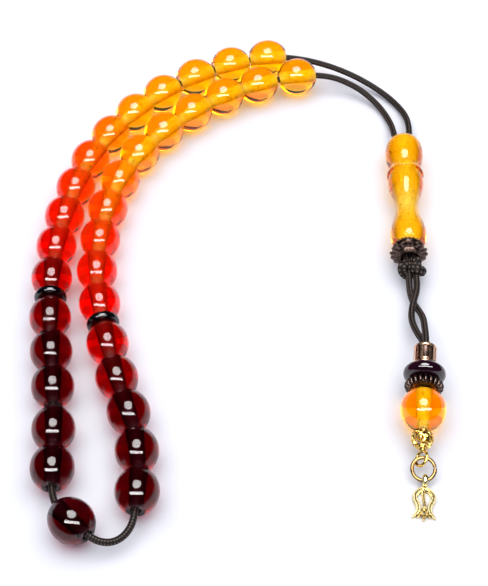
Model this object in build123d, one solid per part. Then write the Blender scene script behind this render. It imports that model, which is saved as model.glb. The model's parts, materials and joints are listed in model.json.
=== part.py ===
from build123d import *
import os
from math import atan2, cos, degrees, pi, radians, sin, sqrt, tan

# Misbaha: a loop of 33 barrel beads and two marker discs on one braided cord, whose two legs
# run through a turned imame and a cap into a knot. Below the knot a second doubled cord holds
# a pendant: tube bead, rondelle, spacer, ball and openwork ball on an eye pin, then a jump
# ring and a tulip charm. Millimetres, +Z up, lying on the plane z = 0, imame at +X.

# ---- driving dimensions -------------------------------------------------------------------
cord_diameter = 1.85

bead_diameter = 11.0
bead_length = 11.1
bead_play = 0.4           # radial, between the cord and a bead's bore
barrel_radius = 8.8       # radius of the barrel's long curve
bead_edge = 1.1           # rounding between barrel and end face
bead_gap = 0.12           # clear space between neighbours on the cord
bead_count = 33
first_bead_at = 113.4     # along the cord, from the knot to the first bead's middle
slack_after = {2: 0.4, 3: 0.5, 14: 1.8, 16: 4.1, 17: 12.7, 32: 0.6}   # bead number: spare cord

disc_diameter = 8.7
disc_thickness = 2.2
disc_edge = 0.95
disc_after = (11, 22)     # a marker disc follows these beads

imame_length = 40.8
strand_play = 1.0         # what a bore with two strands in it has to spare
mouth_flare = 0.8         # how far the bore widens at the beads' end, on each side
mouth_depth = 5.0
imame_head_diameter = 10.8
imame_head_length = 10.1
imame_groove_diameter = 8.4
imame_collar_diameter = 10.3
imame_waist_diameter = 6.4
imame_foot_diameter = 9.9

cap_flange_diameter = 10.5
cap_flange_thickness = 1.1
cap_hub_wall = 1.15       # from the bore to the hub's outer face
cap_length = 4.5
cap_wall = 0.6
cap_gap = 0.1
cap_lobes = 16

knot_width = 8.6
knot_thickness = 5.3

ball_diameter = 11.5
ball_bore = 2.4
open_ball_diameter = 5.6
rondelle_diameter = 10.9
rondelle_thickness = 5.0
spacer_diameter = 9.6
spacer_thickness = 2.2
spacer_lobes = 22
spacer_rib = 0.56          # radius of one rib
spacer_hub = 5.0
tube_length = 5.7
tube_flange_height = 0.3
tube_wall = 0.15
tube_play = 1.2           # what the tube bead's bore has beyond two strands
tube_flange = 0.7
pendant_gap = 0.05        # clear space between pieces on the pin

pin_wire = 0.7
pin_bore_clearance = 0.1  # radial, between the pin and the pieces that turn on it
upper_eye_hole = 2.6
lower_eye_hole = 3.0
lower_eye_wire = 0.8
lower_eye_drop = 0.5
lower_eye_turn = 38.0     # degrees out of upright

ring_wire = 0.95
ring_diameter = 6.6
bail_play = 0.4           # radial play of the ring's wire in the bail
bail_wall = 0.75
bail_width = 1.3
charm_thickness = 1.1
charm_stroke = 0.85

floor_gap = 0.02          # everything that rests on the floor stands this far above it
swing_gap = 0.7           # opening in the doubled cord where the pendant swings

# ---- sizes that follow from those ----------------------------------------------------------
bead_bore = cord_diameter + 2 * bead_play
imame_bore = 2 * cord_diameter + strand_play
imame_mouth = imame_bore + 2 * mouth_flare
cap_hub_diameter = imame_bore + 2 * cap_hub_wall
tube_bore = 2 * cord_diameter + tube_play
tube_body_diameter = tube_bore + 2 * tube_wall
tube_flange_diameter = tube_body_diameter + 2 * tube_flange_height
pin_bore = pin_wire / 2 + pin_bore_clearance
bail_hole = ring_wire + 2 * bail_play
bail_diameter = bail_hole + 2 * bail_wall

# ---- places -------------------------------------------------------------------------------
bead_height = bead_diameter / 2 + floor_gap
imame_foot_at = (47.70, 4.60, 5.47)       # middle of the imame's lower end face
imame_way = (0.0338, 1.0, 0.0)            # from there towards the beads
knot_middle = (48.20, -2.95, 4.50)
upper_eye_middle = (48.82, -35.44, 7.29)  # the pin hangs in the doubled cord here
pin_heading = (-0.10, -1.0)               # from there down to the ball, seen from above
swing_middle = (48.10, -13.30, 3.35)      # where the two strands cross
ring_in_eye = (0.18, 0.47, -0.33)         # from the lower eye's middle to the ring's wire
ring_heading = (0.095, -1.0)              # the way the ring lies, seen from above
charm_way = (-0.10, -1.0, 0.0)

# The loop cord's route, from the knot up the imame's right side, round the loop and back.
loop_points = [
    (48.60, -1.80, 4.70),
    (48.65, 5.00, 5.30),
    (49.15, 15.00, 5.50),
    (49.55, 26.00, 5.50),
    (49.75, 36.50, 5.45),
    (50.60, 45.00, 5.10),
    (51.90, 53.50, 3.30),
    (51.30, 62.30, 1.30),
    (46.50, 70.00, 1.30),
    (38.70, 75.60, 3.10),
    (29.50, 79.70, 4.80),
    (19.50, 82.60, 5.52),
    (9.00, 83.40, 5.52),
    (-6.50, 77.60, 5.52),
    (-20.50, 68.50, 5.52),
    (-33.00, 55.00, 5.52),
    (-42.30, 38.50, 5.52),
    (-47.20, 19.50, 5.52),
    (-49.50, 0.00, 5.52),
    (-48.60, -20.50, 5.52),
    (-46.00, -40.50, 5.52),
    (-44.20, -58.00, 5.52),
    (-43.80, -67.50, 5.52),
    (-43.40, -74.50, 5.45),
    (-41.60, -79.00, 5.50),
    (-38.10, -82.50, 5.52),
    (-34.30, -85.90, 5.45),
    (-31.00, -87.50, 4.50),
    (-27.30, -86.90, 3.70),
    (-24.30, -84.10, 4.10),
    (-23.05, -80.00, 5.40),
    (-22.70, -70.00, 5.52),
    (-24.00, -57.00, 5.52),
    (-29.60, -41.50, 5.52),
    (-34.10, -24.50, 5.52),
    (-37.60, -6.00, 5.52),
    (-36.90, 13.00, 5.52),
    (-32.80, 32.20, 5.52),
    (-21.80, 50.00, 5.52),
    (-5.20, 65.00, 5.52),
    (14.80, 73.80, 5.52),
    (27.50, 75.20, 5.45),
    (36.80, 72.00, 3.60),
    (43.60, 65.80, 1.40),
    (46.80, 57.80, 1.30),
    (47.10, 50.00, 3.70),
    (47.50, 43.50, 5.10),
    (47.80, 36.00, 5.45),
    (47.25, 26.00, 5.50),
    (46.90, 15.00, 5.50),
    (46.75, 5.00, 5.30),
    (47.00, -1.80, 4.70),
]

# The doubled cord's route: one strand down from the knot, round inside the tube bead through
# the pin's upper eye, and back up beside itself. The strands cross once on the way.
tassel_points = [
    (49.20, -3.60, 4.40),
    (49.25, -7.40, 4.15),
    (48.90, -10.60, 4.20),
    (48.10, -13.30, 4.45),
    (47.20, -16.40, 3.75),
    (46.80, -20.20, 3.80),
    (47.60, -25.00, 4.90),
    (49.30, -30.20, 6.45),
    (48.82, -35.32, 5.94),
    (48.82, -35.59, 8.63),
    (49.32, -30.54, 9.13),
    (49.60, -25.00, 7.00),
    (49.90, -20.20, 4.60),
    (49.20, -16.40, 3.00),
    (48.10, -13.30, 2.20),
    (47.30, -10.60, 2.90),
    (47.15, -7.40, 3.90),
    (47.20, -3.60, 4.40),
]


# ---- helpers ------------------------------------------------------------------------------
def turned(outline):
    """A solid of revolution about Z, from closed edges given as (radius, height)."""
    return revolve(Plane.XZ * make_face(outline), Axis.Z)


def rod(radius, low, high):
    """A cylinder about Z from one height to another."""
    return Pos(0, 0, low) * Cylinder(radius, high - low, align=(Align.CENTER, Align.CENTER, Align.MIN))


def spheroid(diameter, height):
    """A solid ellipse of revolution about Z."""
    half = Ellipse(diameter / 2, height / 2) & Pos(diameter / 2, 0) * Rectangle(diameter, 2 * height)
    return revolve(Plane.XZ * half, Axis.Z)


def hoop(mean_radius, wire_radius):
    """A closed ring of round wire, with its middle at the origin and its axis along Z."""
    return Torus(mean_radius, wire_radius)


def stand(solid, middle, way, across=(1, 0, 0)):
    """Puts a piece made about Z so that Z points along `way` from `middle`."""
    way = Vector(*way).normalized()
    across = Vector(*across)
    across = (across - way * across.dot(way)).normalized()
    return Plane(origin=middle, x_dir=across, z_dir=way) * solid


def bend_radii(points):
    """The radius at each inner point: 0.45 of the shorter run over tan(half the turn)."""
    vectors = [Vector(*p) for p in points]
    radii = []
    for before, here, after in zip(vectors, vectors[1:], vectors[2:]):
        run_in = here - before
        run_out = after - here
        turn = run_in.get_angle(run_out)
        radii.append(0.45 * min(run_in.length, run_out.length) / tan(radians(turn / 2)))
    return radii


def cord_path(points):
    return FilletPolyline(*points, radius=bend_radii(points))


def cord_tube(path):
    section = Plane(origin=path @ 0, z_dir=path % 0) * Circle(cord_diameter / 2)
    return sweep(section, path=path)


def report_cord(name, points, path, tube):
    expected = pi * cord_diameter ** 2 / 4 * path.length
    radii = [round(r, 1) for r in bend_radii(points)]
    print(f"{name}: length {path.length:.1f}, volume {tube.volume:.1f} of {expected:.1f}, radii {radii}")


def save(name, solid):
    solid.label = name
    export_step(solid, f"parts/{name}.step")
    built[name] = solid


# ---- beads and discs ----------------------------------------------------------------------
def barrel_end_radius():
    half = bead_length / 2
    return bead_diameter / 2 - barrel_radius + sqrt(barrel_radius ** 2 - half ** 2)


def face_radius():
    """Radius of the flat end face that is left inside the rounded edge."""
    tilt = atan2(bead_length / 2, barrel_radius - bead_diameter / 2 + barrel_end_radius())
    return barrel_end_radius() - bead_edge * cos(tilt) * (1 - tan(tilt) * tan(tilt / 2))


def make_bead():
    half = bead_length / 2
    end = barrel_end_radius()
    bore = bead_bore / 2
    face = make_face([
        ThreePointArc((end, -half), (bead_diameter / 2, 0), (end, half)),
        Line((end, half), (bore, half)),
        Line((bore, half), (bore, -half)),
        Line((bore, -half), (end, -half)),
    ])
    corners = [v for v in face.vertices() if v.X > bore + bead_edge / 2]
    return revolve(Plane.XZ * fillet(corners, bead_edge), Axis.Z)


def make_disc():
    outer = disc_diameter / 2
    half = disc_thickness / 2
    face = Pos((outer + bead_bore / 2) / 2, 0) * Rectangle(outer - bead_bore / 2, 2 * half)
    rim = [v for v in face.vertices() if v.X > outer - disc_edge]
    return revolve(Plane.XZ * fillet(rim, disc_edge), Axis.Z)


def at_length(path, distance):
    return path.position_at(distance, position_mode=PositionMode.LENGTH)


def seat_on_cord(path, distance, length):
    """Middle and direction of a piece that sits on the cord about one point of it."""
    low = at_length(path, distance - length / 2)
    high = at_length(path, distance + length / 2)
    middle = (low + high) * 0.25 + at_length(path, distance) * 0.5
    way = high - low
    return Vector(middle.X, middle.Y, bead_height), Vector(way.X, way.Y, 0).normalized()


def string_pieces(path):
    """Name, middle, direction and length of each bead and disc, in order along the cord."""
    pieces = []
    distance = first_bead_at
    usable = path.length - imame_length
    discs = 0
    for number in range(1, bead_count + 1):
        row = [(f"bead_{number:02d}", bead_length)]
        if number in disc_after:
            discs += 1
            row.append((f"marker_disc_{discs}", disc_thickness))
        for name, length in row:
            if pieces:
                before = pieces[-1]
                distance = before["at"] + (before["length"] + length) / 2 + bead_gap
                turn = radians(before["way"].get_angle(seat_on_cord(path, distance, length)[1]))
                distance += turn * face_radius() + slack_after.get(before["number"], 0)
            if distance + length / 2 > usable:
                return pieces
            middle, way = seat_on_cord(path, distance, length)
            pieces.append({
                "name": name, "number": number if name.startswith("bead") else 0,
                "at": distance, "length": length, "middle": middle, "way": way,
            })
    return pieces


# ---- imame, cap and knot ------------------------------------------------------------------
def make_imame():
    """Turned head, groove, thin flared collar and a waisted body, bored right through."""
    top = imame_length
    head = imame_head_diameter / 2
    head_low = top - imame_head_length
    collar_at = head_low - 3.7
    foot = imame_foot_diameter / 2
    waist = imame_waist_diameter / 2
    shoulder = imame_collar_diameter / 2
    bore = imame_bore / 2
    mouth = imame_mouth / 2
    groove = imame_groove_diameter / 2
    outline = [
        Line((bore, 0), (foot - 1.7, 0)),
        Spline(
            (foot - 1.7, 0), (foot - 0.45, 1.4), (foot, 4.4), (waist + 0.6, 9.6), (waist, 13.9),
            (waist + 0.8, 18.4), (shoulder, 23.3), (shoulder - 0.45, collar_at - 0.75),
        ),
        Line((shoulder - 0.45, collar_at - 0.75), (shoulder + 0.05, collar_at - 0.3)),
        ThreePointArc(
            (shoulder + 0.05, collar_at - 0.3), (shoulder - 0.15, collar_at + 0.75),
            (groove + 0.1, collar_at + 2.4),
        ),
        ThreePointArc(
            (groove + 0.1, collar_at + 2.4), (groove - 0.1, collar_at + 2.9), (groove + 0.25, collar_at + 3.3),
        ),
        Spline(
            (groove + 0.25, collar_at + 3.3), (head - 0.35, head_low + 1.9), (head, head_low + 5.0),
            (head - 0.5, top - 2.3), (head - 1.2, top - 0.8), (head - 2.1, top),
        ),
        Line((head - 2.1, top), (mouth, top)),
        Line((mouth, top), (bore, top - mouth_depth)),
        Line((bore, top - mouth_depth), (bore, 0)),
    ]
    return turned(outline)


def make_cap():
    """Scalloped flange on a short open hub that covers the imame's lower end."""
    hub = cap_hub_diameter / 2
    bore = imame_bore / 2
    flange_low = 1.0
    shell = rod(hub, 0, cap_length) - rod(hub - cap_wall, -1, cap_length - cap_wall)
    shell -= rod(bore, -1, cap_length + 1)
    lobe = cap_flange_diameter / 2 * sin(pi / cap_lobes)
    lobe_at = cap_flange_diameter / 2 - lobe
    flange = rod(lobe_at, flange_low, flange_low + cap_flange_thickness)
    for k in range(cap_lobes):
        flange += Rot(0, 0, 360 * k / cap_lobes) * Pos(lobe_at, 0, 0) * rod(
            lobe, flange_low, flange_low + cap_flange_thickness)
    flange -= rod(hub - cap_wall / 2, -1, cap_length + 1)
    return shell + flange


def make_knot():
    return Pos(*knot_middle) * Rot(0, 90, 0) * spheroid(knot_thickness, knot_width)


# ---- pendant ------------------------------------------------------------------------------
ball_pole = sqrt((ball_diameter / 2) ** 2 - (ball_bore / 2) ** 2)
open_ball_pole = sqrt((open_ball_diameter / 2) ** 2 - (ball_bore / 2) ** 2)
open_ball_at = -(ball_pole + open_ball_pole + pendant_gap)
spacer_at = ball_pole + pendant_gap + spacer_thickness / 2
rondelle_at = spacer_at + spacer_thickness / 2 + pendant_gap + rondelle_thickness / 2
rondelle_rise = rondelle_thickness / 2 * sqrt(1 - (tube_bore / rondelle_diameter) ** 2)
tube_low = rondelle_at + rondelle_rise + pendant_gap
tube_high = tube_low + tube_length
upper_eye_at = tube_high - 3.1
upper_eye_mean = upper_eye_hole / 2 + pin_wire / 2
lower_eye_mean = lower_eye_hole / 2 + lower_eye_wire / 2
lower_eye_at = open_ball_at - open_ball_diameter / 2 - 2 * pendant_gap - lower_eye_mean - lower_eye_wire / 2

pin_drop = (upper_eye_middle[2] - ball_diameter / 2 - floor_gap) / upper_eye_at
pin_level = Vector(*pin_heading).normalized() * -sqrt(1 - pin_drop ** 2)
pin_way = Vector(pin_level.X, pin_level.Y, pin_drop)      # from the ball up to the upper eye
ball_middle = Vector(*upper_eye_middle) - pin_way * upper_eye_at


def on_pin(solid):
    return stand(solid, ball_middle, pin_way)


def make_ball():
    return Sphere(ball_diameter / 2) - rod(ball_bore / 2, -ball_diameter, ball_diameter)


def make_open_ball():
    ball = Sphere(open_ball_diameter / 2) - rod(pin_bore, -open_ball_diameter, open_ball_diameter)
    return Pos(0, 0, open_ball_at) * ball


def make_rondelle():
    half = rondelle_thickness / 2
    lens = spheroid(rondelle_diameter, rondelle_thickness)
    return Pos(0, 0, rondelle_at) * (lens - rod(pin_bore, -half - 1, half + 1))


def make_spacer():
    """Daisy spacer: a flat ring with rounded ribs all round its edge."""
    half = spacer_thickness / 2
    rib_at = spacer_diameter / 2 - spacer_rib
    straight = half - spacer_rib
    ring = rod(rib_at, -straight, straight) + rod(spacer_hub / 2, -half, half)
    for k in range(spacer_lobes):
        rib = rod(spacer_rib, -straight, straight)
        rib += Pos(0, 0, straight) * Sphere(spacer_rib)
        rib += Pos(0, 0, -straight) * Sphere(spacer_rib)
        ring += Rot(0, 0, 360 * k / spacer_lobes) * Pos(rib_at, 0, 0) * rib
    return Pos(0, 0, spacer_at) * (ring - rod(pin_bore, -half - 1, half + 1))


def make_tube():
    outer = tube_flange_diameter / 2
    body = tube_body_diameter / 2
    solid = rod(body, tube_low, tube_high)
    solid += rod(outer, tube_low, tube_low + tube_flange)
    solid += rod(outer, tube_high - tube_flange, tube_high)
    return solid - rod(tube_bore / 2, tube_low - 1, tube_high + 1)


def make_pin():
    """Wire through the pendant with an eye at each end."""
    shaft = rod(pin_wire / 2, lower_eye_at + lower_eye_mean - 0.2, upper_eye_at - upper_eye_mean + 0.1)
    upper = Pos(0, 0, upper_eye_at) * Rot(90, 0, 0) * hoop(upper_eye_mean, pin_wire / 2)
    lower = Rot(0, 0, lower_eye_turn) * Rot(0, 90, 0) * hoop(lower_eye_mean, lower_eye_wire / 2)
    return shaft + upper + Pos(0, lower_eye_drop, lower_eye_at) * lower


bail_height = bail_diameter / 2 + floor_gap
ring_mean = (ring_diameter - ring_wire) / 2
lower_eye = on_pin(Pos(0, lower_eye_drop, lower_eye_at) * Vertex(0, 0, 0)).center()
ring_far = lower_eye + Vector(*ring_in_eye)               # the ring's wire inside the lower eye
ring_sink = (bail_height - ring_far.Z) / (2 * ring_mean)
ring_level = Vector(*ring_heading).normalized() * sqrt(1 - ring_sink ** 2)
ring_way = Vector(ring_level.X, ring_level.Y, ring_sink)
ring_side = (Vector(1, 0, 0) - ring_way * ring_way.X).normalized()
ring_near = ring_far + ring_way * 2 * ring_mean           # the ring's wire inside the bail


def make_jump_ring():
    place = Plane(origin=ring_far + ring_way * ring_mean, x_dir=ring_side, z_dir=ring_side.cross(ring_way))
    return place * hoop(ring_mean, ring_wire / 2)


def make_charm():
    """Tulip outline of flat strokes, with a bail standing on its upper end."""
    def stroke(*points):
        return trace(Spline(*points), charm_stroke)

    top = 1.75
    outline = stroke((0, top), (2.15, top + 1.55), (2.25, top + 2.9), (1.3, top + 5.6), (1.6, top + 7.0),
                     (2.75, top + 8.35))
    outline += stroke((0, top), (-2.15, top + 1.55), (-2.25, top + 2.9), (-1.3, top + 5.6),
                      (-1.6, top + 7.0), (-2.75, top + 8.35))
    outline += stroke((0, top), (0.25, top + 2.6), (-0.1, top + 5.2), (0, top + 8.9))
    outline += Pos(0, top + 6.6) * Rectangle(3.2, 1.0)
    outline += Pos(0, top + 6.6) * Rot(0, 0, 45) * Rectangle(1.7, 1.7)
    plate = extrude(outline, charm_thickness)
    neck = Pos(0, top - 0.35, charm_thickness / 2) * Box(charm_stroke, 0.9, charm_thickness)
    bail = Rot(0, 90, 0) * (
        rod(bail_diameter / 2, -bail_width / 2, bail_width / 2)
        - rod(bail_hole / 2, -bail_width, bail_width)
    )
    bail = Pos(0, 0, bail_height - floor_gap) * bail
    neck -= Pos(0, 0, bail_height - floor_gap) * Rot(0, 90, 0) * rod(bail_hole / 2, -bail_width, bail_width)
    along = Vector(*charm_way).normalized()
    place = Plane(origin=(ring_near.X, ring_near.Y, floor_gap), x_dir=along.cross(Vector(0, 0, 1)),
                  z_dir=(0, 0, 1))
    return place * (plate + neck + bail)


# ---- build --------------------------------------------------------------------------------
built = {}
os.makedirs("parts", exist_ok=True)

loop_path = cord_path(loop_points)
loop_cord = cord_tube(loop_path)
report_cord("loop_cord", loop_points, loop_path, loop_cord)
save("loop_cord", loop_cord)

strung = string_pieces(loop_path)
bead = make_bead()
disc = make_disc()
for piece in strung:
    shape = bead if piece["name"].startswith("bead") else disc
    save(piece["name"], stand(shape, piece["middle"], piece["way"], across=(0, 0, 1)))

save("imame", stand(make_imame(), imame_foot_at, imame_way))
cap_middle = Vector(*imame_foot_at) - Vector(*imame_way).normalized() * (cap_length + cap_gap)
save("filigree_cap", stand(make_cap(), cap_middle, imame_way))
save("knot", make_knot())

tassel_path = cord_path(tassel_points)
tassel_cord = cord_tube(tassel_path)
report_cord("tassel_cord", tassel_points, tassel_path, tassel_cord)
reach = 100
swing_y = swing_middle[1]
above = Pos(swing_middle[0], swing_y + swing_gap / 2 + reach / 2, 0) * Box(reach, reach, reach)
below = Pos(swing_middle[0], swing_y - swing_gap / 2 - reach / 2, 0) * Box(reach, reach, reach)
upper_strands = (tassel_cord & above).solids().sort_by(Axis.X)
save("tassel_cord_upper_left", upper_strands[0])
save("tassel_cord_upper_right", upper_strands[-1])
save("tassel_cord_lower", (tassel_cord & below).solids()[0])

save("meander_tube", on_pin(make_tube()))
save("rondelle", on_pin(make_rondelle()))
save("daisy_spacer", on_pin(make_spacer()))
save("amber_ball", on_pin(make_ball()))
save("filigree_ball", on_pin(make_open_ball()))
save("eye_pin", on_pin(make_pin()))
save("jump_ring", make_jump_ring())
save("tulip_charm", make_charm())

box = Compound(children=[s for s in built.values()]).bounding_box()
print(f"{len(built)} nodes, box {box.min} to {box.max}")
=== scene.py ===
"""Looks of a misbaha: clear resin beads that shade from amber to maroon on a fine braided cord, a turned
imame, a bronze cap, a knot, and a small pendant that ends in a tulip charm. In metres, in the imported
part's frame."""

import json
import math

import bpy
import numpy as np
from mathutils import Matrix, Vector


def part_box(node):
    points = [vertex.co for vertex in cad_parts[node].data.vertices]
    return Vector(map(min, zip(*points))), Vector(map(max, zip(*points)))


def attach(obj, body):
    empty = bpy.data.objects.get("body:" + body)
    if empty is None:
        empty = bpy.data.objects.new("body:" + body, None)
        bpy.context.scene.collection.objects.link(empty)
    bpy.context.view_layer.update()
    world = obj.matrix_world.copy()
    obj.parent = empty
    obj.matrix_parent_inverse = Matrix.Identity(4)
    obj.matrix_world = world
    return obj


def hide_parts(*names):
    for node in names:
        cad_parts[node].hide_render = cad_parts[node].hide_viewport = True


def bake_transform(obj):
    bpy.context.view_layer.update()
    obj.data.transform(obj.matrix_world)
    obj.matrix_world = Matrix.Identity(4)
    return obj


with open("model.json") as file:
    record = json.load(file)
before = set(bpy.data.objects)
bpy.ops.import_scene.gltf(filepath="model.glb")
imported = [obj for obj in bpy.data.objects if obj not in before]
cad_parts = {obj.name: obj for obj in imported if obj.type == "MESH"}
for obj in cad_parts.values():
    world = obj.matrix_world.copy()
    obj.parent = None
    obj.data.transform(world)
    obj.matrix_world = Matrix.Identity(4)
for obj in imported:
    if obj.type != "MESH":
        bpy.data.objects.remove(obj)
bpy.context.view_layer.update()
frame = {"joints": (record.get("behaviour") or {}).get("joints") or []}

MM = 0.001
JOINTS = {joint["child"]: joint for joint in frame["joints"]}

# ---- sizes, in metres, as the solids have them but for the beads' curve and edge -----------
CORD_DIAMETER = 1.85 * MM
BEAD_COUNT = 33
LOWEST_BEAD = 17          # the bead at the bend, where the gradient turns back
BEAD_LENGTH = 11.1 * MM
BEAD_DIAMETER = 11.0 * MM
BARREL_RADIUS = 6.6 * MM   # rounder than the plain solids, in the same box
BEAD_EDGE = 0.7 * MM
BEAD_BORE = 2.65 * MM
DISC_DIAMETER = 8.7 * MM
DISC_THICKNESS = 2.2 * MM
IMAME_LENGTH = 40.8 * MM
IMAME_BORE = 4.7 * MM
MOUTH_FLARE = 0.8 * MM    # how far the imame's bore widens at the beads' end, on each side
PIN_BORE = 0.9 * MM
BALL_DIAMETER = 11.5 * MM
BALL_BORE = 2.4 * MM

# ---- routes of the two cords, in millimetres -----------------------------------------------
LOOP_POINTS = [
    (48.60, -1.80, 4.70),
    (48.65, 5.00, 5.30),
    (49.15, 15.00, 5.50),
    (49.55, 26.00, 5.50),
    (49.75, 36.50, 5.45),
    (50.60, 45.00, 5.10),
    (51.90, 53.50, 3.30),
    (51.30, 62.30, 1.30),
    (46.50, 70.00, 1.30),
    (38.70, 75.60, 3.10),
    (29.50, 79.70, 4.80),
    (19.50, 82.60, 5.52),
    (9.00, 83.40, 5.52),
    (-6.50, 77.60, 5.52),
    (-20.50, 68.50, 5.52),
    (-33.00, 55.00, 5.52),
    (-42.30, 38.50, 5.52),
    (-47.20, 19.50, 5.52),
    (-49.50, 0.00, 5.52),
    (-48.60, -20.50, 5.52),
    (-46.00, -40.50, 5.52),
    (-44.20, -58.00, 5.52),
    (-43.80, -67.50, 5.52),
    (-43.40, -74.50, 5.45),
    (-41.60, -79.00, 5.50),
    (-38.10, -82.50, 5.52),
    (-34.30, -85.90, 5.45),
    (-31.00, -87.50, 4.50),
    (-27.30, -86.90, 3.70),
    (-24.30, -84.10, 4.10),
    (-23.05, -80.00, 5.40),
    (-22.70, -70.00, 5.52),
    (-24.00, -57.00, 5.52),
    (-29.60, -41.50, 5.52),
    (-34.10, -24.50, 5.52),
    (-37.60, -6.00, 5.52),
    (-36.90, 13.00, 5.52),
    (-32.80, 32.20, 5.52),
    (-21.80, 50.00, 5.52),
    (-5.20, 65.00, 5.52),
    (14.80, 73.80, 5.52),
    (27.50, 75.20, 5.45),
    (36.80, 72.00, 3.60),
    (43.60, 65.80, 1.40),
    (46.80, 57.80, 1.30),
    (47.10, 50.00, 3.70),
    (47.50, 43.50, 5.10),
    (47.80, 36.00, 5.45),
    (47.25, 26.00, 5.50),
    (46.90, 15.00, 5.50),
    (46.75, 5.00, 5.30),
    (47.00, -1.80, 4.70),
]

TASSEL_POINTS = [
    (49.20, -3.60, 4.40),
    (49.25, -7.40, 4.15),
    (48.90, -10.60, 4.20),
    (48.10, -13.30, 4.45),
    (47.20, -16.40, 3.75),
    (46.80, -20.20, 3.80),
    (47.60, -25.00, 4.90),
    (49.30, -30.20, 6.45),
    (48.82, -35.32, 5.94),
    (48.82, -35.59, 8.63),
    (49.32, -30.54, 9.13),
    (49.60, -25.00, 7.00),
    (49.90, -20.20, 4.60),
    (49.20, -16.40, 3.00),
    (48.10, -13.30, 2.20),
    (47.30, -10.60, 2.90),
    (47.15, -7.40, 3.90),
    (47.20, -3.60, 4.40),
]

# ---- mesh helpers --------------------------------------------------------------------------
def add_mesh(name, points, faces, materials, smooth_angle=40.0):
    """A new mesh object, smooth but for edges sharper than the angle. materials is one or several."""
    mesh = bpy.data.meshes.new(name)
    mesh.from_pydata([tuple(p) for p in points], [], faces)
    mesh.validate()
    piece = bpy.data.objects.new(name, mesh)
    bpy.context.scene.collection.objects.link(piece)
    for material in materials if isinstance(materials, (list, tuple)) else [materials]:
        mesh.materials.append(material)
    mesh.shade_smooth()
    mesh.set_sharp_from_angle(angle=math.radians(smooth_angle))
    return piece


def facing(middle, way):
    """The matrix that stands something made about Z at middle, with Z along way and X near upright."""
    upright = Vector((0, 0, 1))
    z = Vector(way).normalized()
    x = (upright - z * z.dot(upright)).normalized()
    y = z.cross(x)
    turn = Matrix((x, y, z)).transposed().to_4x4()
    return Matrix.Translation(Vector(middle)) @ turn


def moved(points, place):
    """The points, taken through a matrix."""
    place = np.array(place)
    return np.asarray(points, float) @ place[:3, :3].T + place[:3, 3]


def arc(start, through, end, steps):
    """Points of the circle arc through three points in the plane, the last one left out."""
    (ax, ay), (bx, by), (cx, cy) = start, through, end
    d = 2 * (ax * (by - cy) + bx * (cy - ay) + cx * (ay - by))
    ux = ((ax**2 + ay**2) * (by - cy) + (bx**2 + by**2) * (cy - ay) + (cx**2 + cy**2) * (ay - by)) / d
    uy = ((ax**2 + ay**2) * (cx - bx) + (bx**2 + by**2) * (ax - cx) + (cx**2 + cy**2) * (bx - ax)) / d
    radius = math.hypot(ax - ux, ay - uy)
    low = math.atan2(ay - uy, ax - ux)
    high = math.atan2(cy - uy, cx - ux)
    half = math.atan2(by - uy, bx - ux)
    sweep = (high - low) % (2 * math.pi)
    if (half - low) % (2 * math.pi) > sweep:
        sweep -= 2 * math.pi
    turns = [low + sweep * k / steps for k in range(steps)]
    return [(ux + radius * math.cos(t), uy + radius * math.sin(t)) for t in turns]


def curve_through(points, steps):
    """A smooth line through the points (Catmull-Rom), each step of it cut into steps."""
    pts = [np.array(p, float) for p in points]
    pts = [2 * pts[0] - pts[1]] + pts + [2 * pts[-1] - pts[-2]]
    line = []
    for a, b, c, d in zip(pts, pts[1:], pts[2:], pts[3:]):
        for k in range(steps):
            t = k / steps
            line.append(0.5 * (
                (2 * b) + (c - a) * t + (2 * a - 5 * b + 4 * c - d) * t**2
                + (3 * b - a - 3 * c + d) * t**3
            ))
    line.append(pts[-2])
    return line


def rounded(corners, steps=5):
    """A closed outline of (x, y, radius) corners, each rounded by an arc of its radius."""
    line = []
    count = len(corners)
    for k, (x, y, radius) in enumerate(corners):
        if radius <= 0:
            line.append((x, y))
            continue
        here = Vector((x, y))
        back = Vector(corners[k - 1][:2]) - here
        on = Vector(corners[(k + 1) % count][:2]) - here
        half = back.angle(on) / 2
        reach = min(radius / math.tan(half), 0.48 * back.length, 0.48 * on.length)
        radius = reach * math.tan(half)
        middle = here + (back.normalized() + on.normalized()).normalized() * (radius / math.sin(half))
        first = here + back.normalized() * reach
        last = here + on.normalized() * reach
        a = math.atan2(first.y - middle.y, first.x - middle.x)
        b = math.atan2(last.y - middle.y, last.x - middle.x)
        b = a + (b - a + math.pi) % (2 * math.pi) - math.pi
        for j in range(steps + 1):
            t = a + (b - a) * j / steps
            line.append((middle.x + radius * math.cos(t), middle.y + radius * math.sin(t)))
    return line


def lathe(outline, around=64):
    """Points and faces of a closed outline of (radius, height) turned about Z."""
    turns = np.linspace(0, 2 * math.pi, around, endpoint=False)
    ring = np.array(outline, float)
    points = [(r * math.cos(t), r * math.sin(t), h) for t in turns for r, h in ring]
    count = len(ring)
    faces = []
    for k in range(around):
        for j in range(count):
            a, b = k * count + j, k * count + (j + 1) % count
            c, d = ((k + 1) % around) * count + j, ((k + 1) % around) * count + (j + 1) % count
            faces.append((a, c, d, b))
    return points, faces


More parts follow.
